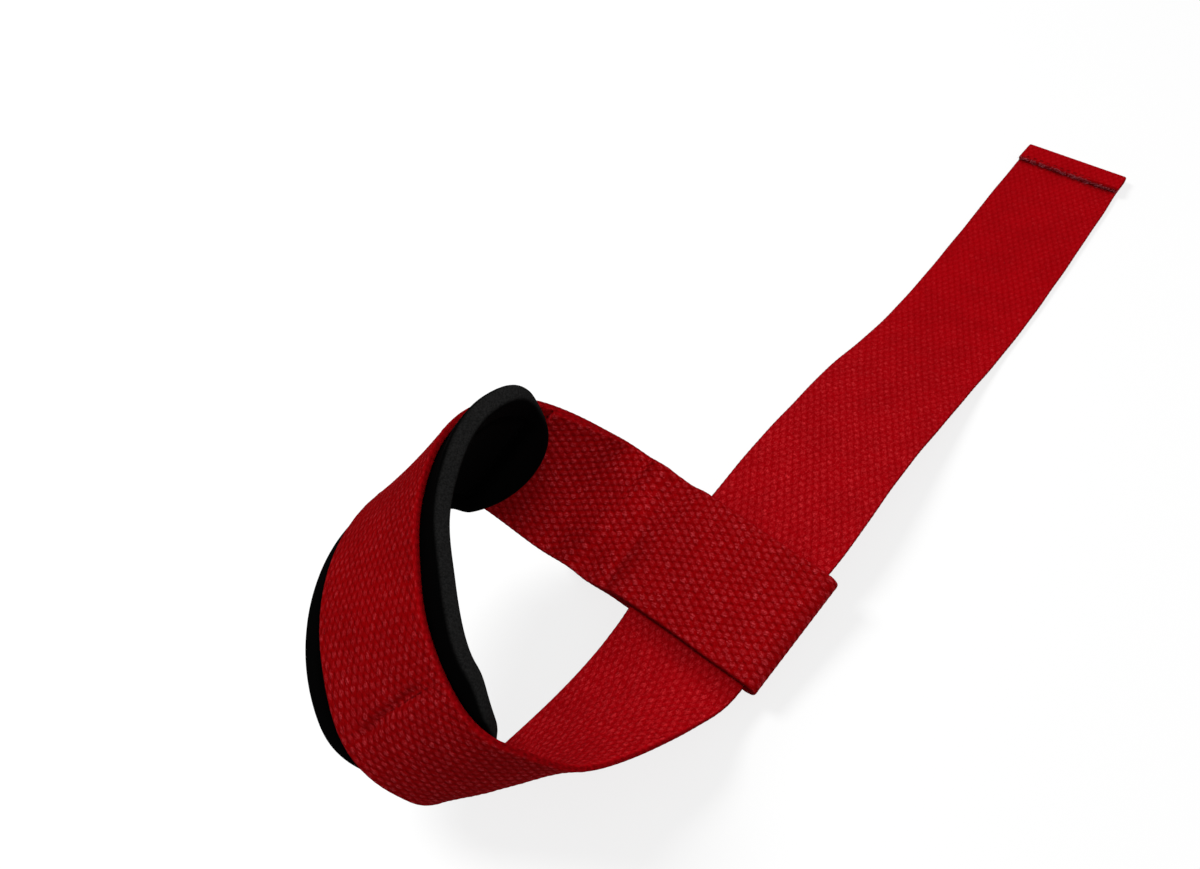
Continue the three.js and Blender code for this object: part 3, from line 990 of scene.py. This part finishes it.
# The band past the near fold is lifted out of the seam's painted shade, and the fold's turn gets painted
# shade of its own.
BAND_SHADE = Span(-24.0, -20.0, 0.0, 0.1)
FOLD_DARKENS = Span(-29.0, -25.0, 1.0, 0.8)
FOLD_CLEARS = Span(-22.0, -16.0, 0.8, 1.0)
LOOP_SHADOW_FROM = Span(257.0, 267.0)
LOOP_SHADOW_FACE = Span(0.0, 0.5)
LOOP_SHADOW_TO = Span(284.0, 290.0, 1.0, 0.0)
LOOP_SHADOW_DARKENS = Span(0.0, 1.0, 1.0, 0.72)

# Parts of the band with painted shade or painted light, a little darker or paler. inner: 1 for the inner face
# or 0, share: by how much.
PAINTED_LIGHT_AND_SHADE = (
    {"start": 90.0, "end": 130.0, "inner": 0.0, "share": -0.06},
    {"start": 182.0, "end": 212.0, "inner": 0.0, "share": -0.12},
    {"start": 214.0, "end": 256.0, "inner": 1.0, "share": 0.12},
)
SOFT_HALF = 10.0


def grain_noise(tree, run, side, face, kind):
    vector = combine(
        tree, run * kind.along + side * kind.skew, side * kind.across + run * kind.twist, face * kind.layer
    )
    return noise(tree, vector, kind.scale, kind.detail, kind.roughness)


def lattice_nodes(tree, run, side, face):
    """The nearest crown in nodes: its squared distance, the place on it in mm and two random numbers."""
    behind = face.do("LESS_THAN", 0.0)
    run = run + behind * (CROWN_RUN / 2)
    found = []
    for half in (0.0, 0.5):
        cell_run = (run / CROWN_RUN + (half + 0.5)).do("FLOOR")
        cell_side = (side / CROWN_SIDE + (half + 0.5)).do("FLOOR")
        along = (run / CROWN_RUN + half - cell_run) * CROWN_RUN
        aside = (side / CROWN_SIDE + half - cell_side) * CROWN_SIDE
        far = (along / CROWN_HALF_RUN).square() + (aside / CROWN_HALF_SIDE).square()
        chances = [random_of(tree, combine(tree, cell_run, cell_side, half + seed)) for seed in (3.0, 8.0)]
        found.append((far, along, aside, *chances))
    first, second = found
    nearest = first[0].do("MINIMUM", second[0])
    chosen = second[0].do("LESS_THAN", first[0])
    mixed = [a + (b - a) * chosen for a, b in zip(first[1:], second[1:])]
    return nearest, *mixed


def dye_and_painted_shade(run, side, face, cloud):
    """Dye clouds, painted shade past the seam and at the near fold, the loop edge's painted shadow, and
    painted light and shade on parts of the band.
    """
    past_seam = run + side * -LOOP_LINE_SLANT - LOOP_LINE
    # Painted shade on the sewn layers past their seam and at the near fold.
    shade = cloud.over(CLOUD_SHADE) * past_seam.over(SEAM_SHADE)
    shade = shade + past_seam.over(PAST_SEAM_SHADE) + run.over(BAND_SHADE)
    shade = shade * run.over(FOLD_DARKENS).do("MAXIMUM", run.over(FOLD_CLEARS))
    # Painted shadow that the loop's edge casts on the inner face of the ring's end.
    loop_shadow = run.over(LOOP_SHADOW_FROM) * face.over(LOOP_SHADOW_FACE) * run.over(LOOP_SHADOW_TO)
    shade = shade * loop_shadow.over(LOOP_SHADOW_DARKENS)
    # Painted light and shade on parts of the band.
    for part in PAINTED_LIGHT_AND_SHADE:
        begins = Span(part["start"] - SOFT_HALF, part["start"] + SOFT_HALF)
        ends = Span(part["end"] - SOFT_HALF, part["end"] + SOFT_HALF, 1.0, 0.0)
        on_face = Span(*INNER_FROM[:2], 1.0 - part["inner"], part["inner"])
        shade = shade + run.over(begins) * run.over(ends) * face.over(on_face) * part["share"]
    return shade


def weave_material():
    made, tree, shader = material("red_webbing", roughness=0.92, specular=0.01)
    run, side, face = stored(tree, "weave")
    kinds = (STRAY, FIBRE, STREAK, SPOT, CLOUD, TEAR, SPECK)
    grains = [grain_noise(tree, run, side, face, kind) for kind in kinds]
    stray, fibre, streak, spot, cloud, tear, speck = grains
    stray, tear = stray - 0.5, tear - 0.5
    found = lattice_nodes(tree, run + stray * STRAY_RUN, side + stray * STRAY_SIDE, face)
    far, along, aside, chance, luck = found
    crown = far.minus_from(1.0).do("MAXIMUM", 0.0)
    open_tail = run.over(TAIL_FROM) * face.over(INNER_FROM)

    # The top of each crown is paler, from wear and a painted sheen: a ragged spot, on some crowns hardly
    # seen.
    spot_run = (along + (chance - 0.5) * WORN_SHEEN_OFF_RUN + tear * TEAR_RUN) / WORN_SHEEN_HALF_RUN
    spot_side = (aside + (luck - 0.5) * WORN_SHEEN_OFF_SIDE + tear * TEAR_SIDE) / WORN_SHEEN_HALF_SIDE
    worn_sheen = (spot_run.square() + spot_side.square()).over(WORN_SHEEN_EDGE)
    light = worn_sheen * (chance * luck * WORN_SHEEN_CHANCE + WORN_SHEEN_LEAST)
    light = light * fibre.over(FIBRE_LIGHT) * spot.over(SPOT_LIGHT)
    # Pale streaks along the yarns: fuzz, with painted sheen.
    light = light + streak.over(STREAK_LIGHT) * crown.over(STREAK_CROWN) * STREAK_SHARE
    light = light * (run.over(STRETCH_FROM) * run.over(STRETCH_TO)).over(STRETCH_LIGHT)
    light = light + speck.over(SPECK_LIGHT) * open_tail * SPECK_LIGHT_SHARE
    light = (light * run.over(FAR_LIGHT)).clamped()

    ply = weighed({"aside": aside, "along": along, "chance": chance}, PLY).wave()
    # The gaps between the crowns are darker with painted shade.
    tones = {"crown": crown.over(CROWN_TONE), "fibre": fibre.over(FIBRE_TONE), "ply": ply}
    tone = weighed(tones, TONE).clamped()
    tone = (tone - speck.over(SPECK_DARK) * open_tail * run.over(FAR_DARK)).clamped()
    outer, inner = (
        mix_colours(tree, light, mix_colours(tree, tone, reds["deep"], reds["body"]), reds["pale"])
        for reds in (OUTER_REDS, INNER_REDS)
    )
    ground = mix_colours(tree, face.over(FACE_FROM).do("MAXIMUM", run.over(HEM_FROM)), outer, inner)
    binding = (run / EDGE_LOOP).wave() * EDGE_BINDING + fibre
    edge = mix_colours(tree, binding.over(EDGE_TONE), *EDGE_REDS)
    edged = mix_colours(tree, side.do("ABSOLUTE").over(EDGE_FROM), ground, edge)
    shade = dye_and_painted_shade(run, side, face, cloud)
    dyed_and_shaded = mix_colours(tree, 1.0, edged, combine(tree, shade, shade, shade), "MULTIPLY")
    tree.links.new(dyed_and_shaded, shader.inputs["Base Color"])
    heights = {"crown": crown, "light": light, "fibre": fibre, "streak": streak, "spot": spot}
    heights["speck"] = speck * open_tail
    bump(tree, shader, weighed(heights, BUMPS), BUMP_DEPTH)
    return made


# Threads of two twisted strands, and their colours from the gap to the strand.
TURNS_PER_MM = 1.6
STRANDS = 2
THREAD_BUMP = 0.05
RED_THREAD = ((0.17, 0.0004, 0.0016), (0.27, 0.0016, 0.004))
BLACK_THREAD = ((0.0007, 0.0006, 0.0006), (0.0026, 0.002, 0.002))
FRAY_THREAD = ((0.26, 0.02, 0.03), (0.5, 0.12, 0.15))


def thread_material(name, colours):
    made, tree, shader = material(name, roughness=0.85, specular=0.04)
    run, angle, _ = stored(tree, "twist")
    strand = (run * TURNS_PER_MM + angle / (2 * math.pi)).wave(STRANDS)
    tree.links.new(mix_colours(tree, strand.over(Span(-1.0, 1.0)), *colours), shader.inputs["Base Color"])
    bump(tree, shader, strand, THREAD_BUMP)
    return made


# The pad's knitted faces, almost black, and the grey foam of its cut edge.
KNIT_RIB = 0.55
KNIT_COURSE = 0.62
KNIT_TONE = {"rib": 0.12, "course": 0.08, "fuzz": 0.6, "cloud": 0.4}
KNIT_FUZZ = {"scale": 3.2, "detail": 3.0, "roughness": 0.6}
KNIT_CLOUDS = 0.13
KNIT_SPAN = Span(0.2, 0.9)
KNIT_BLACKS = ((0.0001, 0.0001, 0.0001), (0.0008, 0.0007, 0.0007))
KNIT_BUMPS = {"rib": 0.25, "course": 0.2, "fuzz": 0.8}
KNIT_DEPTH = 0.05
FOAM_GRAIN = {"scale": 2200.0, "detail": 3.0, "roughness": 0.7}
FOAM_SPAN = Span(0.3, 0.7)
FOAM_GREYS = ((0.0045, 0.0045, 0.0044), (0.0125, 0.0122, 0.012))


def pad_material():
    made, tree, shader = material("black_pad", roughness=0.94, specular=0.02)
    run, side, edge = stored(tree, "knit")
    flat = combine(tree, run, side, edge * 2.0)
    parts = {
        "rib": (side / KNIT_RIB).wave(),
        "course": (run / KNIT_COURSE).wave(),
        "fuzz": noise(tree, flat, **KNIT_FUZZ),
        "cloud": noise(tree, flat, KNIT_CLOUDS),
    }
    knit = mix_colours(tree, weighed(parts, KNIT_TONE).over(KNIT_SPAN), *KNIT_BLACKS)
    place = tree.nodes.new("ShaderNodeTexCoord").outputs["Object"]
    foam = mix_colours(tree, noise(tree, place, **FOAM_GRAIN).over(FOAM_SPAN), *FOAM_GREYS)
    colour = mix_colours(tree, edge.over(Span(0.0, 1.0)), knit, foam)
    tree.links.new(colour, shader.inputs["Base Color"])
    bump(tree, shader, weighed(parts, KNIT_BUMPS), KNIT_DEPTH)
    return made


# Floor: in metres, a hair under the strap. It glows, so that it is nearly white under the weak light.
FLOOR_HALF = 3.0
FLOOR_DROP = 0.00012
FLOOR_GREYS = ((0.145, 0.145, 0.145), (0.15, 0.15, 0.15))
FLOOR_CLOUDS = 3.0
FLOOR_GLOW = 0.818
WHITE = (1.0, 1.0, 1.0, 1.0)


def floor_material():
    made, tree, shader = material("pale_floor", roughness=0.95, specular=0.0)
    place = tree.nodes.new("ShaderNodeTexCoord").outputs["Object"]
    colour = mix_colours(tree, noise(tree, place, FLOOR_CLOUDS), *FLOOR_GREYS)
    tree.links.new(colour, shader.inputs["Base Color"])
    shader.inputs["Emission Color"].default_value = WHITE
    shader.inputs["Emission Strength"].default_value = FLOOR_GLOW
    return made


def make_floor():
    mesh = bpy.data.meshes.new("floor")
    signs = ((-1, -1), (1, -1), (1, 1), (-1, 1))
    mesh.from_pydata([(x * FLOOR_HALF, y * FLOOR_HALF, -FLOOR_DROP) for x, y in signs], [], [(0, 1, 2, 3)])
    floor = add_object("floor", mesh)
    mesh.materials.append(floor_material())
    floor.visible_diffuse = floor.visible_glossy = False
    return floor


# Camera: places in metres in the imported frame, lens and sensor in millimetres.
CAMERA_PLACE = Vector((-0.1767, -0.0948, 0.2434))
CAMERA_TARGET = Vector((-0.0428, 0.0382, 0.0))
CAMERA_ROLL = math.radians(-7.0)
CAMERA_LENS = 28.8
CAMERA_SENSOR = 36.0
CAMERA_NEAR = 0.01
CAMERA_FAR = 20.0

# Round lights that face the strap. Each lights the strap or the floor alone, but every object casts its
# shadow in it.
LIGHT_TARGET = Vector((-0.03, 0.0, 0.02))
LIGHTS = (
    {"name": "overhead", "place": (0.0, 0.0, 1.2), "size": 0.5, "power": 8.9, "lit": "strap"},
    {"name": "tail_fill", "place": (0.56, -0.84, 0.64), "size": 0.5, "power": 3.2, "lit": "strap"},
    {"name": "drop_shadow", "place": (-0.25, 0.75, 0.9), "size": 0.4, "power": 18.0, "lit": "floor"},
)
TENT_LIGHT = 0.44


def make_camera():
    ahead = (CAMERA_TARGET - CAMERA_PLACE).normalized()
    right = ahead.cross(Vector((0, 0, 1))).normalized()
    above = right.cross(ahead)
    turned_right = right * math.cos(CAMERA_ROLL) + above * math.sin(CAMERA_ROLL)
    turned_above = above * math.cos(CAMERA_ROLL) - right * math.sin(CAMERA_ROLL)
    data = bpy.data.cameras.new("camera")
    data.lens, data.sensor_width, data.sensor_fit = CAMERA_LENS, CAMERA_SENSOR, "HORIZONTAL"
    data.clip_start, data.clip_end = CAMERA_NEAR, CAMERA_FAR
    camera = add_object("camera", data)
    turn = Matrix((turned_right, turned_above, -ahead)).transposed().to_4x4()
    camera.matrix_world = Matrix.Translation(CAMERA_PLACE) @ turn
    bpy.context.scene.camera = camera


def make_light(row, lit):
    data = bpy.data.lights.new(row["name"], "AREA")
    data.shape, data.size, data.energy = "DISK", row["size"], row["power"]
    light = add_object(row["name"], data)
    light.location = row["place"]
    light.rotation_euler = (LIGHT_TARGET - Vector(row["place"])).to_track_quat("-Z", "Y").to_euler()
    receivers = bpy.data.collections.new(row["name"] + "_receivers")
    for piece in lit:
        receivers.objects.link(piece)
    light.light_linking.receiver_collection = receivers


def make_studio(pieces, floor):
    """A soft white tent, with a large light above, a weak one on the near right and one for the shadow."""
    world = bpy.data.worlds.new("studio")
    world.use_nodes = True
    backdrop = world.node_tree.nodes["Background"]
    backdrop.inputs["Color"].default_value = WHITE
    backdrop.inputs["Strength"].default_value = TENT_LIGHT
    bpy.context.scene.world = world
    for row in LIGHTS:
        make_light(row, {"strap": pieces, "floor": [floor]}[row["lit"]])
    bpy.context.scene.view_settings.view_transform = "Standard"


def dress(pieces, made):
    for piece in pieces:
        piece.data.materials.append(made)


ribbons = [
    make_ribbon("webbing_loop_end", RAW_END_INDEX, SEWN_CUT),
    make_ribbon("webbing_ring", SEWN_CUT, TAIL_CUT),
    make_ribbon("webbing_tail", TAIL_CUT, HEM_END_INDEX),
]
pad = make_pad()
inner_threads = make_threads("pad_threads_inner", pad_stitches(1), 0.17, slack=0.08, seed=5)
outer_threads = make_threads("pad_threads_outer", pad_stitches(-1), 0.13, slack=0.05, seed=6)
hem_threads = make_threads("hem_threads", hem_stitches(), 0.17, slack=0.08, seed=7)
fray = make_fray()
dress(ribbons, weave_material())
dress([pad], pad_material())
dress([inner_threads], thread_material("black_thread", BLACK_THREAD))
dress([outer_threads, hem_threads], thread_material("red_thread", RED_THREAD))
dress([fray], thread_material("fray_thread", FRAY_THREAD))
make_camera()
make_studio([*ribbons, pad, inner_threads, outer_threads, hem_threads, fray], make_floor())
